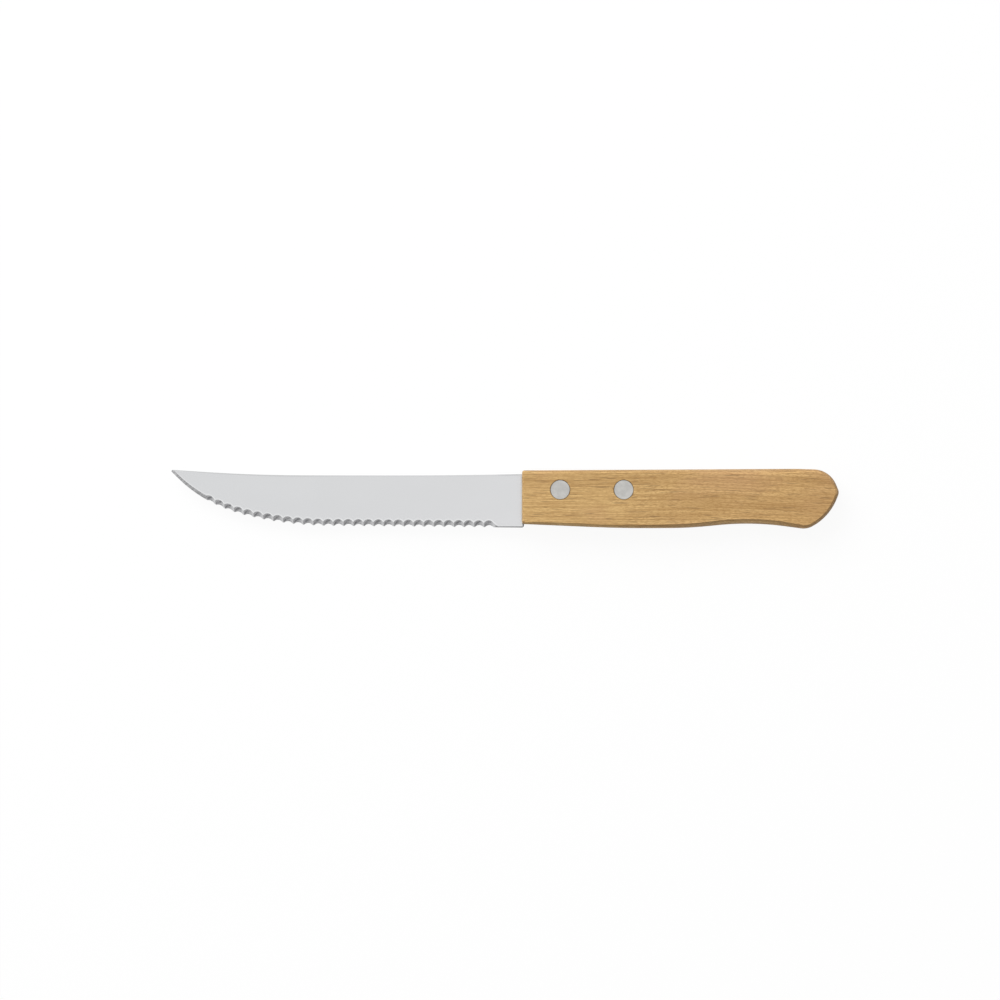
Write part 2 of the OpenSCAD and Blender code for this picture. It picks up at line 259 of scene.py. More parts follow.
class KnifeRivetSizes(bpy.types.PropertyGroup):
    head: length("Head", "Diameter of the heads", 6.3)
    head_thickness: length("Head thickness", "Thickness of the heads", 1.2)
    head_sink: length("Head sink", "Depth of the heads below the handle's sides", 0.05)
    head_break: length("Head break", "Rounding of the heads' edges", 0.12)
    head_gap: length("Head gap", "Clearance round the heads", 0.06)
    tube: length("Tube", "Outer diameter of the female half's tube", 4.2)
    shank: length("Shank", "Diameter of the male half's shank", 2.6)
    tube_gap: length("Tube gap", "Clearance round the tube", 0.05)
    tube_end_gap: length("Tube end gap", "Space between tube and male head", 0.5)
    shank_end_gap: length("Shank end gap", "Space between shank and tube's bottom", 0.8)
    front: length("Front rivet", "Front rivet behind the front end", 12.4)
    pitch: length("Rivet pitch", "Distance between the rivets", 20.7)
    metal: colour("Rivet metal", "Sanded face of the rivets", (0.59, 0.581, 0.562))


class KnifeStageSizes(bpy.types.PropertyGroup):
    floor: colour("Floor", "Matte white floor", (0.98, 0.98, 0.98))
    white_share: share("Floor glow", "Share of the floor's white without a shadow", 0.93)
    sky: share("Sky", "Strength of the broad light", 0.92)
    dim: share("Dim side", "Part of that light left on the other side", 0.08)
    key: FloatProperty(name="Lamp", description="Power of the soft lamp", default=11.5, min=0, unit="POWER")
    view_width: length("View width", "Width of the camera's picture", 325.6)


# Outlines


def rounded_outline(corners, steps):
    """Points, outward normals, arc centres and radii of a clockwise outline of corners [x, y, radius].

    Each corner becomes the arc that touches its two sides: centre plus radius times (cos a, sin a) at
    even angles a. Two arcs that would meet on a side both shrink.
    """
    at, radius = corners[:, :2], corners[:, 2]
    back, ahead = np.roll(at, 1, 0) - at, np.roll(at, -1, 0) - at
    side = np.linalg.norm(ahead, axis=1)
    back /= np.linalg.norm(back, axis=1)[:, None]
    ahead /= side[:, None]
    half = np.arccos(np.clip((back * ahead).sum(1), -1, 1)) / 2
    run = radius / np.tan(half)
    room = ARC_ROOM_SHARE * side / (run + np.roll(run, -1))
    radius = radius * np.minimum(1, np.minimum(room, np.roll(room, 1)))
    run = (radius / np.tan(half))[:, None]
    middle = back + ahead
    centre = at + middle * (radius / np.sin(half) / np.linalg.norm(middle, axis=1))[:, None]
    first, final = at + back * run - centre, at + ahead * run - centre
    start = np.arctan2(first[:, 1], first[:, 0])
    sweep = (np.arctan2(final[:, 1], final[:, 0]) - start + np.pi) % (2 * np.pi) - np.pi
    a = start[:, None] + sweep[:, None] * np.linspace(0, 1, steps + 1)
    spoke = np.stack([np.cos(a), np.sin(a)], -1)
    outward = spoke * np.where(sweep < 0, 1, -1)[:, None, None]
    points = centre[:, None] + spoke * radius[:, None, None]
    return points.reshape(-1, 2), outward.reshape(-1, 2), centre, radius


def divided(points, normals, longest):
    """The same closed outline with each straight side cut evenly into parts no longer than `longest`."""
    ahead = np.roll(points, -1, 0) - points
    parts = np.maximum(1, np.ceil(np.linalg.norm(ahead, axis=1) / longest).astype(int))
    index = np.repeat(np.arange(len(points)), parts)
    part = (np.arange(len(index)) - np.repeat(np.cumsum(parts) - parts, parts)) / parts[index]
    return points[index] + ahead[index] * part[:, None], normals[index]


def turned(points, a):
    """Points of the plane turned anticlockwise by a: (x cos a - y sin a, x sin a + y cos a)."""
    x, y = points[..., 0], points[..., 1]
    return np.stack([x * math.cos(a) - y * math.sin(a), x * math.sin(a) + y * math.cos(a)], -1)


def eased(x):
    """0 below 0, 1 above 1 and 3x² - 2x³ between them."""
    x = np.clip(x, 0, 1)
    return x * x * (3 - 2 * x)


def blade_corners(blade, rivet):
    """Corners of the blade and its tang, clockwise from the point; the cutting edge's come last."""
    scale = np.array([blade.length, blade.height, blade.length])
    tang_end = rivet.front + rivet.pitch + blade.tang_tail
    tang_low = blade.height - blade.tang_height
    return np.array([
        [POINT_SHARE[0] * blade.length, POINT_SHARE[1] * blade.height, blade.point_radius],
        *(np.array(SPINE_SHARES) * scale),
        [0, blade.height, SPINE_END_RADIUS_SHARE * blade.length],
        [tang_end, blade.height, blade.tang_radius],
        [tang_end, tang_low, blade.tang_radius],
        [blade.heel_in, tang_low, blade.heel_radius],
        [blade.heel_in, 0, blade.heel_radius],
        *(np.array(EDGE_SHARES) * scale),
    ])


def rivet_spots(blade, rivet):
    """Centres of the two rivets in the knife's plane."""
    y = blade.height - blade.tang_height / 2
    return np.array([[rivet.front, y], [rivet.front + rivet.pitch, y]])


def sizes(context):
    """The blade's, handle's and rivets' sizes."""
    scene = context.scene
    return scene.knife_blade, scene.knife_handle, scene.knife_rivet


def plane_shift():
    """What moves the knife's plane onto the frame: the front rivet stays with its solid."""
    blade, _, rivet = sizes(bpy.context)
    middle = (RIVET_BOX[0] + RIVET_BOX[1]) / 2
    return middle[:2] - rivet_spots(blade, rivet)[0]


# Meshes


def mesh_object(name, vertices, faces, values=None):
    """An object with its mesh in place at the origin, and a number for each vertex in each of `values`.

    The numbers are kept at the faces' corners, where a cut blends them.
    """
    mesh = bpy.data.meshes.new(name)
    mesh.from_pydata(vertices, [], faces)
    corners = np.empty(len(mesh.loops), np.int32)
    mesh.loops.foreach_get("vertex_index", corners)
    for attribute, numbers in (values or {}).items():
        kept = mesh.attributes.new(attribute, "FLOAT", "CORNER")
        kept.data.foreach_set("value", np.asarray(numbers, np.float32)[corners])
    mesh.validate()
    mesh.update()
    made = bpy.data.objects.new(name, mesh)
    bpy.context.scene.collection.objects.link(made)
    return made


def tube_faces(rings, around):
    """Quads between neighbouring rings of a grid that closes around, and the two end rings as caps."""
    ring, spot = np.meshgrid(np.arange(rings - 1), np.arange(around), indexing="ij")
    ahead = (spot + 1) % around
    low, high = ring * around, (ring + 1) * around
    quads = np.stack([low + spot, low + ahead, high + ahead, high + spot], -1).reshape(-1, 4)
    cap = np.arange(around)
    return [*quads.tolist(), cap[::-1].tolist(), (cap + (rings - 1) * around).tolist()]


def turned_piece(name, profile, spot, parts=ROUND_PARTS, wobble=None):
    """A profile of [radius, height] turned round an upright axis: (r cos a, r sin a, z), ends closed.

    wobble(a) is the share by which the outline of the widest part isn't quite round.
    """
    a = np.linspace(0, 2 * np.pi, parts, endpoint=False)
    radius, z = profile[:, :1], profile[:, 1:]
    uneven = 1 if wobble is None else 1 - wobble(a) * (radius / radius.max()) ** 8
    x = spot[0] + radius * uneven * np.cos(a)
    y = spot[1] + radius * uneven * np.sin(a)
    vertices = np.stack([x, y, z + 0 * a], -1).reshape(-1, 3)
    return mesh_object(name, vertices, tube_faces(len(profile), parts))


def prism(name, outline, low, high):
    """An outline of the plane, anticlockwise, carried straight up from one height to the other."""
    flat = np.concatenate([outline, outline])
    z = np.repeat([low, high], len(outline))
    return mesh_object(name, np.column_stack([flat, z]), tube_faces(2, len(outline)))


def outward(made):
    """Merges doubles and turns every face outwards."""
    shell = bmesh.new()
    shell.from_mesh(made.data)
    bmesh.ops.remove_doubles(shell, verts=shell.verts, dist=1e-7)
    bmesh.ops.recalc_face_normals(shell, faces=shell.faces)
    shell.to_mesh(made.data)
    shell.free()


def cut(made, cutters):
    """Takes the cutters' solids out of the piece and removes them."""
    for cutter in cutters:
        outward(cutter)
        step = made.modifiers.new("cut", "BOOLEAN")
        step.operation, step.solver, step.object = "DIFFERENCE", "EXACT", cutter
    graph = bpy.context.evaluated_depsgraph_get()
    finished = bpy.data.meshes.new_from_object(made.evaluated_get(graph))
    made.modifiers.clear()
    made.data = finished
    for cutter in cutters:
        bpy.data.objects.remove(cutter)


def finish_piece(made, node, material, crease=SOFT_CREASE):
    """Shades the piece smooth between its sharp edges, dresses it and puts it in its solid's place."""
    made.data.shade_smooth()
    made.data.set_sharp_from_angle(angle=crease)
    made.modifiers.new("flat_sides", "WEIGHTED_NORMAL").keep_sharp = True
    made.data.materials.clear()
    made.data.materials.append(material)
    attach(made, "root")
    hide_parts(node)


# Blade


def edge_teeth(blade, corners):
    """Tooth points along the cutting edge, from the heel to the plain edge.

    They lie one pitch apart on the blank's lower edge and a trim's width outside it.
    """
    points = rounded_outline(corners, ARC_STEPS)[0].reshape(len(corners), -1, 2)
    edge = points[-len(EDGE_SHARES) :].reshape(-1, 2)
    line = np.concatenate([[[blade.heel_in, 0]], edge, corners[:1, :2]])
    step = np.diff(line, axis=0)
    run = np.concatenate([[0], np.cumsum(np.linalg.norm(step, axis=1))])
    start = blade.heel_in + blade.heel
    count = int((run[-1] - start - blade.plain_edge) // blade.pitch)
    s = start + blade.pitch * np.arange(count + 1)
    at = np.stack([np.interp(s, run, line[:, 0]), np.interp(s, run, line[:, 1])], -1)
    way = step[np.searchsorted(run, s, side="right") - 1]
    way = way / np.linalg.norm(way, axis=1)[:, None]
    return at + blade.tooth_trim * np.stack([-way[:, 1], way[:, 0]], -1)


def grind_centres(blade, teeth):
    """Where the axis of the grind through two neighbouring teeth meets the blade's flat side.

    Seen along the grind each scallop is a circle, so its centre lies on the middle line of the chord
    between the teeth, at the root of radius² minus half chord². Result in the axes turned by the lean.
    """
    seen = turned(teeth, -blade.grind_lean) * [1, math.sin(blade.grind_tilt)]
    chord = np.diff(seen, axis=0)
    long = np.linalg.norm(chord, axis=1)
    down = np.stack([-chord[:, 1], chord[:, 0]], -1) / long[:, None]
    centre = (seen[1:] + seen[:-1]) / 2 + down * np.sqrt(blade.grind_radius**2 - long**2 / 4)[:, None]
    return centre / [1, math.sin(blade.grind_tilt)]


def blade_surface(blade, rivet):
    """The blade's closed surface as columns across it, in axes turned by the grind's lean.

    Along a column the ground side's height is the least of the sheet's thickness, of the hollow
    grind's straight slope (y - g) tan(tilt), where g is the scallops' arcs, of the bevel's slope from
    the plain edge and of the sheared strip's. A column runs round from the spine over the flat side,
    up the edge, over the ground side and the rounded spine. Returns vertices, faces and attributes.
    """
    corners = blade_corners(blade, rivet)
    points, _, centres, radii = rounded_outline(corners, BLADE_ARC_STEPS)
    seen = turned(points, -blade.grind_lean)
    seen = np.roll(seen, -int(seen[:, 0].argmin()), 0)
    far = int(seen[:, 0].argmax())
    upper, lower = seen[: far + 1], seen[far:][::-1]
    teeth = edge_teeth(blade, corners)
    middles = grind_centres(blade, teeth)
    teeth = turned(teeth, -blade.grind_lean)

    # Columns: at the outline's points, at each tooth and across each scallop, close at the heel's end,
    # and nowhere more than 1 mm apart
    shares = np.arange(SCALLOP_COLUMNS) / SCALLOP_COLUMNS
    steps = (teeth[:-1, :1] + np.diff(teeth[:, 0])[:, None] * shares).ravel()
    low_x, high_x = seen[0, 0] + 2 * COLUMN_GRID, seen[far, 0] - 2 * COLUMN_GRID
    end = blade.heel_in + np.linspace(-2 * blade.shear_width, blade.shear_width, HEEL_COLUMNS)
    even = np.arange(low_x, high_x, MM)
    x = np.concatenate([seen[:, 0], steps, teeth[-1:, 0], end, even, [low_x, high_x]])
    x = np.unique(np.round(x[(x >= low_x) & (x <= high_x)] / COLUMN_GRID)) * COLUMN_GRID

    bottom = np.interp(x, lower[:, 0], lower[:, 1])
    top = np.interp(x, upper[:, 0], upper[:, 1])
    radius, tilt = blade.grind_radius, blade.grind_tilt
    across = x[:, None] - middles[:, 0]
    arc = middles[:, 1] + np.sqrt(np.maximum(radius**2 - across**2, 0)) / math.sin(tilt)
    arc = np.where(np.abs(across) < radius, arc, NOWHERE)
    grind = arc.max(1)
    edge = np.maximum(bottom, grind)

    bevel_centre = turned(centres[-1], -blade.grind_lean)
    bevel_radius = radii[-1]
    on_plain = x < (teeth[-1, 0] + teeth[-2, 0]) / 2
    grown = eased((x - seen[0, 0]) / (BEVEL_GROWTH_SHARE * blade.plain_edge))
    bevel_width = blade.bevel_width * (BEVEL_POINT_SHARE + (1 - BEVEL_POINT_SHARE) * grown)
    slope = ((blade.thickness - blade.edge_thickness) / bevel_width)[:, None]
    inner = np.sqrt(np.maximum((bevel_radius - bevel_width) ** 2 - (x - bevel_centre[0]) ** 2, 0))
    bevel_line = np.where(on_plain, bevel_centre[1] - inner, NOWHERE)
    sine, cosine = math.sin(blade.grind_lean), math.cos(blade.grind_lean)
    on_heel = eased((x * cosine + blade.heel) / SHEAR_RAMP)
    shear_line = np.where(on_heel > 0, (blade.shear_width - x * sine) / cosine, NOWHERE)

    def sheared(y):
        """Part of the sheared strip's depth at y in each column: along the heel and up its end."""
        column = x[:, None]
        low = column * sine + y * cosine
        back = HEEL_END_STEEPNESS * (blade.heel_in - column * cosine + y * sine)
        back = np.where(low < HEEL_END_SHARE * blade.height, back, FAR)
        return on_heel[:, None] * np.clip(1 - np.minimum(low, back) / blade.shear_width, 0, 1)

    def height(y):
        """Height of the ground side over the flat one at y in each column."""
        hollow = (y - grind[:, None]) * math.tan(tilt)
        reach = np.hypot(x[:, None] - bevel_centre[0], y - bevel_centre[1])
        bevel = np.where(on_plain[:, None], blade.edge_thickness + (bevel_radius - reach) * slope, FAR)
        lowest = np.minimum(np.minimum(hollow, bevel), blade.thickness - blade.shear_depth * sheared(y))
        return np.clip(lowest, blade.ground_edge, blade.thickness)

    # rounding, strips and rim grow narrower where the blade leaves them little room
    soft = np.minimum(blade.edge_break, 0.3 * (top - edge))
    hollow_line = grind + blade.thickness / math.tan(tilt)
    face_line = np.maximum.reduce([hollow_line, bevel_line, shear_line, edge])
    face_line = np.clip(face_line, edge + 0.15 * soft, top - soft)
    width = (face_line - edge)[:, None]
    lip = np.minimum(0.1 * MM, 0.3 * width)
    room = (top - soft - face_line)[:, None]
    edge_y, line_y = edge[:, None], face_line[:, None]
    rim_width = np.minimum(blade.rim_width, 0.3 * room)
    # rows across the ground strip, at its line, over the bright rim and up the face
    strip = edge_y + (width - lip) * STRIP_ROWS
    rim = line_y + rim_width * RIM_ROWS
    face = line_y + rim_width + (room - rim_width) * FACE_ROWS
    y_side = np.concatenate([strip, rim, face], 1)
    z_side = height(y_side)
    z_side[:, 0] = np.minimum(z_side[:, 0], blade.thickness - 0.15 * soft)
    z_spine = z_side[:, -1:]
    bend = np.minimum(soft[:, None], z_spine / 2.5)
    a = np.linspace(0, np.pi / 2, 5)
    crown = top[:, None] - bend
    y_over = crown + bend * np.sin(a[1:])
    z_over = z_spine - bend + bend * np.cos(a[1:])
    y_under = crown + bend * np.cos(a)
    z_under = bend - bend * np.sin(a)
    flat = crown + (edge_y - crown) * FLAT_ROWS
    # the face's last row meets the spine's rounding
    y_side[:, -1:] = crown
    y = np.concatenate([flat, y_side, y_over, y_under], 1)
    z = np.concatenate([0 * flat, z_side, z_over, z_under], 1)

    rows = y.shape[1]
    plane = turned(np.stack([np.repeat(x[:, None], rows, 1), y], -1), blade.grind_lean)
    vertices = np.concatenate([plane, z[..., None]], -1).reshape(-1, 3)
    row, first = np.arange(rows), flat.shape[1]
    line_row, last = first + strip.shape[1], first + y_side.shape[1] - 1
    is_ground = np.select([(row >= first) & (row < line_row), row == line_row], [1.0, 0.5], 0.0)
    is_rim = (row == line_row) | (row == line_row + 1)
    is_upper = (row >= first) & (row <= last)
    hollowed = (hollow_line > np.maximum(bottom, bevel_line)) & (grind > NOWHERE / 2)
    tooth_x = teeth[::-1, 0]
    right = np.clip(np.searchsorted(tooth_x, x), 1, len(tooth_x) - 1)
    swing = np.clip(2 * (x - tooth_x[right - 1]) / (tooth_x[right] - tooth_x[right - 1]) - 1, -1, 1)
    values = {
        "hollow": is_ground * hollowed[:, None],
        "bevel": is_ground * (on_plain & ~hollowed)[:, None],
        "sheared": is_upper * np.clip(3 * sheared(y), 0, 1),
        "spine": np.repeat((row >= last)[None], len(x), 0),
        "rim": is_rim * ((face_line - edge > 0.2 * MM) & (on_plain | hollowed))[:, None],
        "swing": np.repeat(swing[:, None], rows, 1),
        "rise": np.clip((y - edge_y) / np.maximum(width, 0.1 * MM), 0, 1) * (y >= edge_y),
    }
    return vertices, tube_faces(len(x), rows), {name: v.ravel() for name, v in values.items()}


# Handle


def handle_height(blade, handle):
    """Height of the handle's outline before its corners are rounded."""
    return (blade.height + handle.spine_step + handle.belly_drop) / FRONT_TOP_SHARE


def rounding_width(x, handle):
    """Width of the handle's edge rounding at x: small at the front end, widest at the waist."""
    at = x / handle.length
    starts, wide, narrows, back = WAIST_SHARES
    waist = eased((at - starts) / (wide - starts)) - eased((at - narrows) / (back - narrows))
    sides = (handle.side_round - handle.front_round) * eased(x / handle.round_run)
    return handle.front_round + sides + (handle.waist_round - handle.side_round) * waist


def handle_surface(blade, handle):
    """The handle's closed skin: its outline carried over a rounded edge, down the side and round again.

    The rounding is an arc of radius r from angle 0 at the upright side to the angle t at the ridge. A
    ring at angle a lies r(1 - cos a) inside the outline and r(sin t - sin a) from the flat side. One
    more ring lies on the flat side, just inside the ridge's break. `ridge` is 1 on the ridge where the
    outline faces the belly and fades over the next two rings, and carries painted shade there. A second
    attribute, painted shade on the rounding, grows across it, a little towards the spine and more
    towards the butt.
    """
    tall = handle_height(blade, handle)
    thick = HANDLE_BOX[1][2]
    front = handle.front_round + handle.flat_corner
    corners = np.array(HANDLE_SHARES) * [handle.length, tall, tall]
    front_top, front_low = ([[0, part * tall, front]] for part in (FRONT_TOP_SHARE, FRONT_BOTTOM_SHARE))
    corners = np.concatenate([front_top, corners, front_low])
    corners[:, 1] -= handle.belly_drop
    outline, normals = divided(*rounded_outline(corners, ARC_STEPS)[:2], 2 * MM)
    top = math.pi / 2 - handle.ridge_angle
    width = rounding_width(outline[:, 0], handle)
    r = width / (1 - math.cos(top))
    a = np.linspace(top, 0, 9)[:, None]
    inset = np.concatenate([[width + handle.ridge_break], r * (1 - np.cos(a))])
    under = np.concatenate([[0 * r], r * (math.sin(top) - np.sin(a))])
    under[1] = handle.ridge_break / 4
    sides = np.linspace(0, 1, 6)[1:-1, None]
    inset = np.concatenate([inset, 0 * sides * r, inset[::-1]])
    z = np.concatenate([under, under[-1] + (thick - 2 * under[-1]) * sides, thick - under[::-1]])
    plane = outline - normals * inset[..., None]
    vertices = np.concatenate([plane, z[..., None]], -1).reshape(-1, 3)
    ridge, up, out = np.zeros((3, len(z)))
    ridge[1:4] = ridge[-2:-5:-1] = [1, 0.7, 0.25]
    up[2:-2], out[3:-3] = 1, 1
    up[2] = up[-3] = 0.5
    out[3:5] = out[-4:-6:-1] = [0.3, 0.7]
    to_spine = SPINE_PAINTED_SHADE * up[:, None] * normals[:, 1]
    to_butt = BUTT_PAINTED_SHADE * out[:, None] * np.clip(1.2 * normals[:, 0], 0, 1)
    # painted shade: on the ridge along the belly, and across the rounding towards the spine and the butt
    values = {
        "ridge": (ridge[:, None] * np.clip(-1.3 * normals[:, 1], 0, 1)).ravel(),
        "worn": np.maximum(np.maximum(to_spine, to_butt), 0).ravel(),
    }
    return vertices, [face[::-1] for face in tube_faces(len(z), len(outline))], values


def kerf_outline(blade, handle, rivet):
    """The kerf in the knife's plane: open in front and at both edges, with the saw's arc behind."""
    reach = blade.height + 4 * handle.spine_step
    end = rivet.front + rivet.pitch + blade.tang_tail + handle.kerf_end_gap
    middle = handle_height(blade, handle) / 2 - handle.belly_drop
    rise = np.linspace(-reach, reach, 80)
    back = end - handle.saw_radius + np.sqrt(handle.saw_radius**2 - rise**2)
    arc = np.stack([back, middle + rise], -1)
    return np.concatenate([[[-MM, middle - reach]], arc, [[-MM, middle + reach]]])


def hole_profile(rivet, thick):
    """Radius and height of a rivet hole with its two counterbores, from below to above."""
    wide, narrow = rivet.head / 2 + rivet.head_gap, rivet.tube / 2 + rivet.tube_gap
    deep = rivet.head_sink + rivet.head_thickness
    below = [[wide, -MM], [wide, deep], [narrow, deep]]
    return np.array([*below, [narrow, thick - deep], [wide, thick - deep], [wide, thick + MM]])


# Rivets


def head_profile(rivet):
    """Sanded face and rounded edge of a head that stands on its face: a quarter circle at the rim."""
    a = np.linspace(0, np.pi / 2, 6)
    edge = rivet.head / 2 - rivet.head_break
    rim = np.stack([edge + rivet.head_break * np.sin(a), rivet.head_break * (1 - np.cos(a))], -1)
    face = np.stack([edge * np.array([0.25, 0.5, 0.75, 0.9]), np.zeros(4)], -1)
    return np.concatenate([face, rim, [[rivet.head / 2, rivet.head_thickness]]])


def half_profile(rivet, thick, female):
    """Profile of a rivet half that stands on its head: a tube with its bore, or a shank."""
    inside = thick - 2 * rivet.head_sink - rivet.head_thickness
    tube, shank, low, bend = rivet.tube / 2, rivet.shank / 2, rivet.head_thickness, rivet.head_break
    if female:
        tall = inside - rivet.tube_end_gap
        rest = [[tube, low], [tube, tall], [shank, tall], [shank, low]]
    else:
        tall = inside - rivet.shank_end_gap
        rest = [[shank, low], [shank, tall - bend], [shank - bend, tall]]
    return np.concatenate([head_profile(rivet), rest])


def uneven(phase):
    """How far a hand-sanded head is from round: two slow waves of under 1 percent."""
    return lambda a: 0.006 * (1 + np.cos(2 * a + phase)) / 2 + 0.004 * (1 + np.cos(5 * a - 2 * phase)) / 2


# Materials


def dimmed(rgb, part):
    """A colour times a number."""
    return [c * part for c in rgb]


class Finish:
    """The node tree of a material or world, with short ways to add nodes and join or set sockets."""

    def __init__(self, owner):
        owner.use_nodes = True
        self.owner, self.tree = owner, owner.node_tree
        self.tree.nodes.clear()
        self.places = self.add("ShaderNodeTexCoord").outputs

    def add(self, kind, sockets=(), **settings):
        """A node with these settings; a socket takes another node's output or a plain value."""
        node = self.tree.nodes.new(kind)
        for setting, value in settings.items():
            setattr(node, setting, value)
        for socket, value in dict(sockets).items():
            if isinstance(value, bpy.types.NodeSocket):
                self.tree.links.new(value, node.inputs[socket])
            else:
                node.inputs[socket].default_value = value
        return node

    def compute(self, operation, first, second=0.0, third=0.0):
        return self.add("ShaderNodeMath", {0: first, 1: second, 2: third}, operation=operation).outputs[0]

    def times(self, first, *others):
        for other in others:
            first = self.compute("MULTIPLY", first, other)
        return first

    def most(self, first, *others):
        for other in others:
            first = self.compute("MAXIMUM", first, other)
        return first

    def apart(self, first, second):
        """How far two numbers are apart."""
        return self.compute("ABSOLUTE", self.compute("SUBTRACT", first, second))

    def vector(self, operation, first, second=(0, 0, 0)):
        """A vector, or a number where the operation gives one."""
        node = self.add("ShaderNodeVectorMath", {0: first, 1: second}, operation=operation)
        is_number = operation in {"LENGTH", "DISTANCE", "DOT_PRODUCT"}
        return node.outputs["Value" if is_number else "Vector"]

    def attribute(self, name):
        return self.add("ShaderNodeAttribute", attribute_name=name).outputs["Fac"]

    def along(self):
        """The place along the knife."""
        return self.add("ShaderNodeSeparateXYZ", {0: self.places["Object"]}).outputs["X"]

    def noise(self, cells, turn=0.0, place=None, detail=2.0, roughness=0.5):
        """Noise with so many cells to the metre along x, y and z, after a turn about z."""
        at = place or self.places["Object"]
        if turn:
            at = self.add("ShaderNodeMapping", {"Vector": at, "Rotation": (0, 0, turn)}).outputs[0]
        at = self.add("ShaderNodeMapping", {"Vector": at, "Scale": cells}).outputs[0]
        sockets = {"Vector": at, "Scale": 1.0, "Detail": detail, "Roughness": roughness}
        return self.add("ShaderNodeTexNoise", sockets).outputs["Fac"]

    def between(self, value, low, high, to_low=0.0, to_high=1.0):
        """The value's place from low to high, eased, as a number from to_low to to_high."""
        sockets = {"Value": value, "From Min": low, "From Max": high, "To Min": to_low, "To Max": to_high}
        return self.add("ShaderNodeMapRange", sockets, interpolation_type="SMOOTHSTEP").outputs["Result"]

    def blend(self, part, first, second):
        """Two numbers mixed by a part from 0 to 1."""
        return self.add("ShaderNodeMix", {0: part, 2: first, 3: second}).outputs[0]

    def mix(self, part, first, second):
        """Two colours mixed by a part from 0 to 1."""
        first, second = (c if isinstance(c, bpy.types.NodeSocket) else (*c, 1) for c in (first, second))
        return self.add("ShaderNodeMix", {0: part, 6: first, 7: second}, data_type="RGBA").outputs[2]

    def bump(self, height, strength, distance, normal=None):
        sockets = {"Height": height, "Strength": strength, "Distance": distance}
        if normal:
            sockets["Normal"] = normal
        return self.add("ShaderNodeBump", sockets).outputs["Normal"]

    def shade(self, **sockets):
        """The surface: a principled shader with these sockets, its names with spaces for underlines."""
        named = {name.replace("_", " "): value for name, value in sockets.items()}
        shader = self.add("ShaderNodeBsdfPrincipled", named)
        self.add("ShaderNodeOutputMaterial", {"Surface": shader.outputs[0]})
        return self.owner


def new_finish(name):
    return Finish(bpy.data.materials.new(name))


def steel_finish(blade):
    """Satin steel: fine lines along the blade, painted shade in each hollow and a bright rim above it,
    partly polish and partly a painted highlight.

    Across a hollow `swing` runs from -1 at the side towards the point to 1, and `rise` from 0 at the
    edge to 1 at the face. The hollow's colour is painted lighter as the swing grows. The main painted
    shade climbs from the left tooth up to the hollow's upper middle, a thin painted shade follows the
    edge, and blotches break up both. The same blotches mottle the bevel, whose end at the point is
    darker, and painted shade lies on the rounded spine, least in its middle.
    """
    finish = new_finish("satin_steel")
    mix, between, times = finish.mix, finish.between, finish.times
    hollow, bevel, sheared, spine = map(finish.attribute, ("hollow", "bevel", "sheared", "spine"))
    swing, rise, rim = map(finish.attribute, ("swing", "rise", "rim"))
    lines = finish.noise((40, 5200, 400), detail=3)
    marks = finish.noise((3600, 300, 300), turn=-blade.grind_lean, detail=3)
    blotch = finish.noise((900, 2200, 300), turn=BLOTCH_TURN)
    cloud = finish.noise((28, 60, 60))
    along = finish.along()
    side = mix(between(cloud, 0.35, 0.65), dimmed(blade.steel, 0.98), blade.steel)
    side = mix(between(along, -0.11, 0.0, 0.06, 0.0), side, POINT_TINT)

    # painted shade in each hollow: a streak that climbs from the left tooth to the hollow's upper middle
    away = finish.apart(rise, finish.compute("MULTIPLY_ADD", swing, HOLLOW_SHADE_CLIMB, HOLLOW_SHADE_MIDDLE))
    hollow_shade = times(
        between(away, 0.05, 0.4, 1.0, 0.0),
        between(swing, 0.2, 0.85, 1.0, 0.0),
        between(swing, -1.0, -0.65, 0.1, 1.0),
    )
    # painted shade beside the left tooth, low in the hollow
    tooth_shade = times(between(swing, -1.0, -0.85, 0.3, 0.0), between(rise, 0.05, 0.4, 1.0, 0.0))
    hollow_shade = times(finish.most(hollow_shade, tooth_shade), between(blotch, 0.4, 0.54, 0.35, 1.0))
    # painted shade in a thin line along the edge
    edge_line_shade = times(
        between(finish.apart(rise, 0.14), 0.04, 0.26, 0.65, 0.0),
        between(finish.compute("ABSOLUTE", swing), 0.3, 0.75, 1.0, 0.0),
        between(blotch, 0.44, 0.58, 1.0, 0.1),
    )
    hollow_shade = times(finish.most(hollow_shade, edge_line_shade), between(marks, 0.3, 0.6, 0.8, 1.0))
    # painted light: each hollow grows lighter towards its side nearer the handle
    hollow_with_painted_light = mix(between(swing, -0.2, 0.9, 0.0, 0.3), blade.ground_and_shaded_steel, blade.rim_and_highlight_steel)
    tone = mix(hollow, side, mix(hollow_shade, hollow_with_painted_light, blade.shaded_steel))

    dull, bright = (dimmed(blade.edge_steel, part) for part in (0.8, 1.2))
    mottled = mix(between(blotch, 0.38, 0.6), dull, bright)
    mottled = mix(between(along, *DARK_POINT, 0.35, 0.0), mottled, DARK_STEEL)
    tone = mix(bevel, tone, mottled)
    # painted shade on the rounded spine, least in its middle
    shade = between(along, *SPINE_FADE, 0.2, 0.07)
    shade = finish.most(shade, between(along, *SPINE_RETURN, 0.0, 0.2))
    tone = mix(times(spine, shade), tone, DARK_STEEL)
    # the rim: partly polish, partly a painted highlight that brightens towards the handle's side of each
    # hollow
    tone = mix(times(rim, between(swing, 0.2, 1.0, 0.45, 1.0)), tone, blade.rim_and_highlight_steel)
    # the sheared strip along the heel and up its end: partly duller steel, partly painted shade
    tone = mix(sheared, tone, dimmed(blade.edge_steel, 0.17))
    rough = finish.compute("ADD", between(hollow, 0, 1, 0.18, 0.42), times(lines, 0.06))
    normal = finish.bump(lines, 0.12, 0.02 * MM)
    normal = finish.bump(times(marks, finish.most(hollow, bevel)), 0.35, 0.04 * MM, normal)
    return finish.shade(Base_Color=tone, Metallic=1.0, Roughness=rough, Normal=normal)


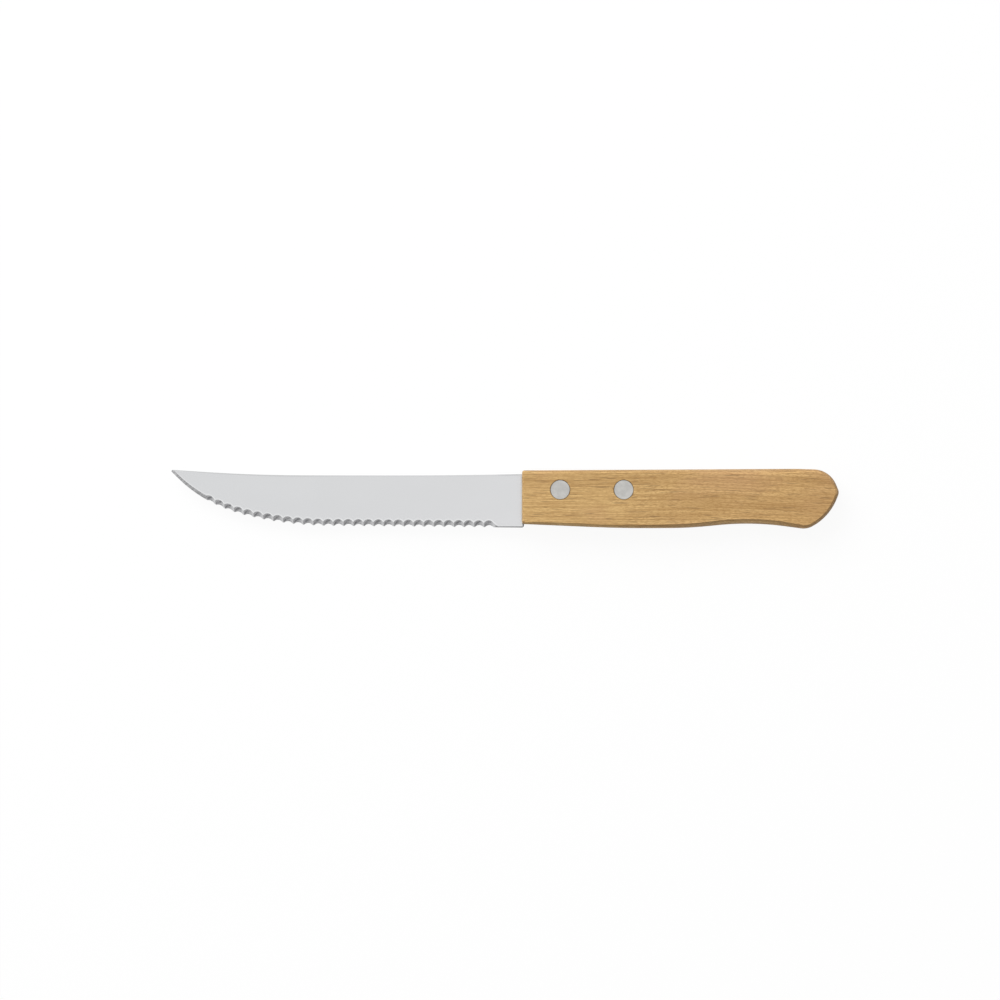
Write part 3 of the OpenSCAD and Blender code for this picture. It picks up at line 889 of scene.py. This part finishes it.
def wood_finish(handle, rivet, spots):
    """Smooth hardwood: broad stains, layers of grain and open pores along the handle, painted shade at
    its edges, round the rivets' heads and behind the heel.

    `grain` is the place in the wood, moved across the handle by a slow wander and a slight bend.
    """
    finish = new_finish("oiled_hardwood")
    mix, between, times = finish.mix, finish.between, finish.times
    along = finish.along()
    wander = finish.noise((12, 60, 60))
    bend = finish.compute("MULTIPLY_ADD", along, 0.05, between(along, 0.0, 0.075, 0.0, -3.2 * MM))
    sway = finish.compute("MULTIPLY_ADD", wander, 0.8 * MM, bend)
    sway = finish.add("ShaderNodeCombineXYZ", {"Y": sway}).outputs[0]
    grain = finish.vector("ADD", finish.places["Object"], sway)

    tone = mix(between(along, *BUTT), handle.light_wood, handle.butt_wood)
    for middle, reach, part in STAINS:
        off = finish.vector("SUBTRACT", grain, (*middle, 0))
        away = finish.vector("LENGTH", finish.vector("MULTIPLY", off, (1 / reach[0], 1 / reach[1], 0)))
        stain = handle.dark_wood if part > 0 else handle.light_wood
        tone = mix(between(away, 0.3, 1.0, abs(part), 0.0), tone, stain)
    layers = {}
    for layer, (cells, detail, roughness, front, behind) in GRAIN.items():
        layers[layer] = finish.noise(cells, place=grain, detail=detail, roughness=roughness)
        part = times(between(layers[layer], 0.41, 0.65), between(along, *REAR, front, behind))
        tone = mix(part, tone, handle.dark_wood)
    patches = finish.noise((30, 70, 70), detail=3)
    tone = mix(between(patches, 0.5, 0.75, 0.0, 0.25), tone, RED_WOOD)
    open_pores = between(finish.noise((170, 3900, 3000), place=grain, detail=1), 0.64, 0.7)
    tone = mix(times(open_pores, 0.6), tone, handle.pores_and_shade)
    # painted shade on the ridge along the belly, stronger towards the butt
    tone = mix(times(finish.attribute("ridge"), between(along, *REAR, 0.28, 0.55)), tone, handle.pores_and_shade)
    # painted shade across the rounding, towards the spine and the butt
    tone = mix(finish.attribute("worn"), tone, handle.pores_and_shade)

    # painted shade in the gaps round the rivets' heads and in the crevice behind the heel, and a dark
    # spot beside the rear rivet
    flat = finish.vector("MULTIPLY", finish.places["Object"], (1, 1, 0))
    jitter = times(finish.noise((700, 700, 200)), 0.5 * MM)
    ring_breakup = between(finish.noise((170, 260, 200), detail=1), 0.4, 0.56, 0.3, 1.0)
    head = rivet.head / 2
    rings = []
    for spot in spots:
        away = finish.compute("SUBTRACT", finish.vector("DISTANCE", flat, (*spot, 0)), jitter)
        rings.append(between(away, head - 0.15 * MM, head + 0.1 * MM, 1.0, 0.0))
    dirt_and_shade = times(finish.most(*rings), ring_breakup)
    dark_spot = (spots[1][0] - head - 0.15 * MM, spots[1][1] + 0.3 * MM, 0)
    crevice = (spots[0][0] - rivet.front + 0.5 * MM, HANDLE_BOX[0][1] + 2.2 * MM, 0)
    for place in (dark_spot, crevice):
        away = finish.vector("DISTANCE", flat, place)
        dirt_and_shade = finish.most(dirt_and_shade, between(away, 0.15 * MM, 0.5 * MM, 1.0, 0.0))
    tone = mix(times(dirt_and_shade, 0.75), tone, handle.pores_and_shade)

    rough = between(layers["streaks"], 0.3, 0.7, 0.5, 0.62)
    relief = finish.compute("SUBTRACT", times(layers["long"], 0.4), open_pores)
    normal = finish.bump(relief, 0.35, 0.08 * MM)
    return finish.shade(Base_Color=tone, Roughness=rough, Normal=normal, IOR=1.45)


def rivet_finish(rivet):
    """Matte soft metal with fine scratches from sanding in changing directions."""
    finish = new_finish("sanded_rivet_metal")
    scratches = finish.noise((700, 4200, 900), turn=0.3, detail=3)
    crossing = finish.noise((3800, 600, 900), turn=-0.5, detail=3)
    mottle = finish.noise((420, 420, 300), detail=3)
    dull, bright = (dimmed(rivet.metal, part) for part in (0.93, 1.05))
    tone = finish.mix(finish.between(mottle, 0.35, 0.65), dull, bright)
    fine = finish.most(scratches, crossing)
    rough = finish.between(fine, 0.3, 0.8, 0.42, 0.58)
    normal = finish.bump(fine, 0.25, 0.03 * MM)
    return finish.shade(Base_Color=tone, Metallic=1.0, Roughness=rough, Normal=normal)


# Operators


class KNIFE_OT_blade(bpy.types.Operator):
    """Build the stamped blade with its ground scallops, plain edge and tang"""

    bl_idname = "knife.blade"
    bl_label = "Blade"

    def execute(self, context):
        blade, _, rivet = sizes(context)
        vertices, faces, values = blade_surface(blade, rivet)
        # the arcs are finer than the solids' and stay inside their box
        vertices = np.clip(vertices + [*plane_shift(), BLADE_BOX[0][2]], *CAD_BOX)
        made = mesh_object("steel_blade", vertices, faces, values)
        outward(made)
        hole = rivet.tube / 2 + rivet.tube_gap
        reach = np.array([[hole, BLADE_BOX[0][2] - MM], [hole, BLADE_BOX[1][2] + MM]])
        spots = rivet_spots(blade, rivet) + plane_shift()
        cut(made, [turned_piece("hole", reach, spot, HOLE_PARTS) for spot in spots])
        finish_piece(made, "blade", steel_finish(blade), STEEL_CREASE)
        return {"FINISHED"}


class KNIFE_OT_handle(bpy.types.Operator):
    """Build the wooden handle with its kerf, rivet holes and counterbores"""

    bl_idname = "knife.handle"
    bl_label = "Handle"

    def execute(self, context):
        blade, handle, rivet = sizes(context)
        shift = plane_shift()
        vertices, faces, values = handle_surface(blade, handle)
        made = mesh_object("wooden_handle", np.clip(vertices + [*shift, 0], *CAD_BOX), faces, values)
        outward(made)
        thick = HANDLE_BOX[1][2]
        spots = rivet_spots(blade, rivet) + shift
        kerf = kerf_outline(blade, handle, rivet) + shift
        low, high = BLADE_BOX[0][2] - handle.kerf_gap, BLADE_BOX[1][2] + handle.kerf_gap
        cutters = [prism("kerf", kerf, low, high)]
        hole = hole_profile(rivet, thick)
        cutters += [turned_piece("hole", hole, spot) for spot in spots]
        cut(made, cutters)
        finish_piece(made, "handle", wood_finish(handle, rivet, spots))
        return {"FINISHED"}


class KNIFE_OT_rivets(bpy.types.Operator):
    """Build the two cutler's rivets, each from a female and a male half"""

    bl_idname = "knife.rivets"
    bl_label = "Rivets"

    def execute(self, context):
        blade, _, rivet = sizes(context)
        thick = HANDLE_BOX[1][2]
        material = rivet_finish(rivet)
        spots = rivet_spots(blade, rivet) + plane_shift()
        for (place, phase), spot in zip(HEAD_PHASES.items(), spots):
            female = half_profile(rivet, thick, True)
            female[:, 1] += rivet.head_sink
            male = half_profile(rivet, thick, False)
            male[:, 1] = thick - rivet.head_sink - male[:, 1]
            for kind, profile in (("female", female), ("male", male)):
                node = f"{place}_rivet_{kind}"
                made = turned_piece(f"{node}_half", profile, spot, wobble=uneven(phase))
                outward(made)
                finish_piece(made, node, material)
                phase += HALF_PHASE
        return {"FINISHED"}


class KNIFE_OT_stage(bpy.types.Operator):
    """Set up the white floor, the broad light, the soft lamp and the camera straight above"""

    bl_idname = "knife.stage"
    bl_label = "Floor, light and camera"

    def execute(self, context):
        scene = context.scene
        stage = scene.knife_stage
        self.floor(stage)
        self.sky(scene, stage)
        self.lamp("key_lamp", stage.key)
        camera = bpy.data.objects.new("camera", bpy.data.cameras.new("camera"))
        camera.data.type = "ORTHO"
        camera.data.ortho_scale = stage.view_width
        camera.location = CAMERA_PLACE
        scene.collection.objects.link(camera)
        scene.camera = camera
        scene.view_settings.view_transform = "Standard"
        return {"FINISHED"}

    def floor(self, stage):
        """A wide disc just under the knife, part matte and part even white for what the camera sees."""
        a = np.linspace(0, 2 * np.pi, 128, endpoint=False)
        rings = np.array(FLOOR_RINGS)[:, None]
        disc = np.stack([rings * np.cos(a), rings * np.sin(a), 0 * rings * a - FLOOR_DROP], -1)
        made = mesh_object("floor", disc.reshape(-1, 3), tube_faces(len(FLOOR_RINGS), len(a))[:-1])
        finish = new_finish("white_floor")
        matte = finish.add("ShaderNodeBsdfDiffuse", {"Color": (*stage.floor, 1)}).outputs[0]
        glow = finish.add("ShaderNodeEmission", {"Color": (1, 1, 1, 1), "Strength": 1.0}).outputs[0]
        path = finish.add("ShaderNodeLightPath").outputs
        seen = finish.most(*(path[f"Is {kind} Ray"] for kind in ("Camera", "Glossy", "Transmission")))
        part = finish.times(seen, stage.white_share)
        both = finish.add("ShaderNodeMixShader", {0: part, 1: matte, 2: glow})
        finish.add("ShaderNodeOutputMaterial", {"Surface": both.outputs[0]})
        made.data.materials.append(finish.owner)

    def sky(self, scene, stage):
        """White where the camera looks past the floor, and a broad light from above the spine.

        The light's level follows a direction's cosine to the middle of that light: steeply for matte
        surfaces, so that the belly's side is dim, and gently for what is mirrored in the metal.
        """
        scene.world = scene.world or bpy.data.worlds.new("studio")
        finish = Finish(scene.world)
        way, path = finish.places["Generated"], finish.add("ShaderNodeLightPath").outputs
        matte = finish.between(finish.vector("DOT_PRODUCT", way, MATTE_WAY), 0.1, 0.95, stage.dim)
        mirrored = finish.between(finish.vector("DOT_PRODUCT", way, MIRRORED_WAY), -0.7, 0.6, 0.3)
        level = finish.blend(path["Is Glossy Ray"], finish.times(matte, stage.sky), mirrored)
        level = finish.blend(path["Is Camera Ray"], level, 1.0)
        back = finish.add("ShaderNodeBackground", {"Color": (1, 1, 1, 1), "Strength": level})
        finish.add("ShaderNodeOutputWorld", {"Surface": back.outputs[0]})

    def lamp(self, name, power):
        """A square soft lamp above the spine, turned to the knife."""
        light = bpy.data.lights.new(name, "AREA")
        light.shape, light.size, light.energy = "SQUARE", LAMP_SIZE, power
        made = bpy.data.objects.new(name, light)
        made.location = LAMP_PLACE
        made.rotation_euler = made.location.to_track_quat("Z", "Y").to_euler()
        made.visible_camera = False
        made.visible_glossy = False
        bpy.context.scene.collection.objects.link(made)


class KNIFE_PT_panel(bpy.types.Panel):
    """Buttons and sizes of the steak knife"""

    bl_idname = "KNIFE_PT_panel"
    bl_label = "Steak knife"
    bl_space_type = "VIEW_3D"
    bl_region_type = "UI"
    bl_category = "Steak knife"

    def draw(self, context):
        for operator, group in zip(OPERATORS, GROUPS):
            box = self.layout.box()
            box.operator(operator.bl_idname)
            settings = getattr(context.scene, group)
            for name in settings.bl_rna.properties.keys():
                if name not in {"rna_type", "name"}:
                    box.prop(settings, name)


OPERATORS = (KNIFE_OT_blade, KNIFE_OT_handle, KNIFE_OT_rivets, KNIFE_OT_stage)
GROUPS = {
    "knife_blade": KnifeBladeSizes,
    "knife_handle": KnifeHandleSizes,
    "knife_rivet": KnifeRivetSizes,
    "knife_stage": KnifeStageSizes,
}


def register():
    for made in (*GROUPS.values(), *OPERATORS, KNIFE_PT_panel):
        bpy.utils.register_class(made)
    for name, group in GROUPS.items():
        setattr(bpy.types.Scene, name, PointerProperty(type=group))


def unregister():
    for name in GROUPS:
        delattr(bpy.types.Scene, name)
    for made in (KNIFE_PT_panel, *reversed(OPERATORS), *reversed(GROUPS.values())):
        bpy.utils.unregister_class(made)


def main():
    register()
    bpy.ops.knife.blade()
    bpy.ops.knife.handle()
    bpy.ops.knife.rivets()
    bpy.ops.knife.stage()


if __name__ == "__main__":
    main()
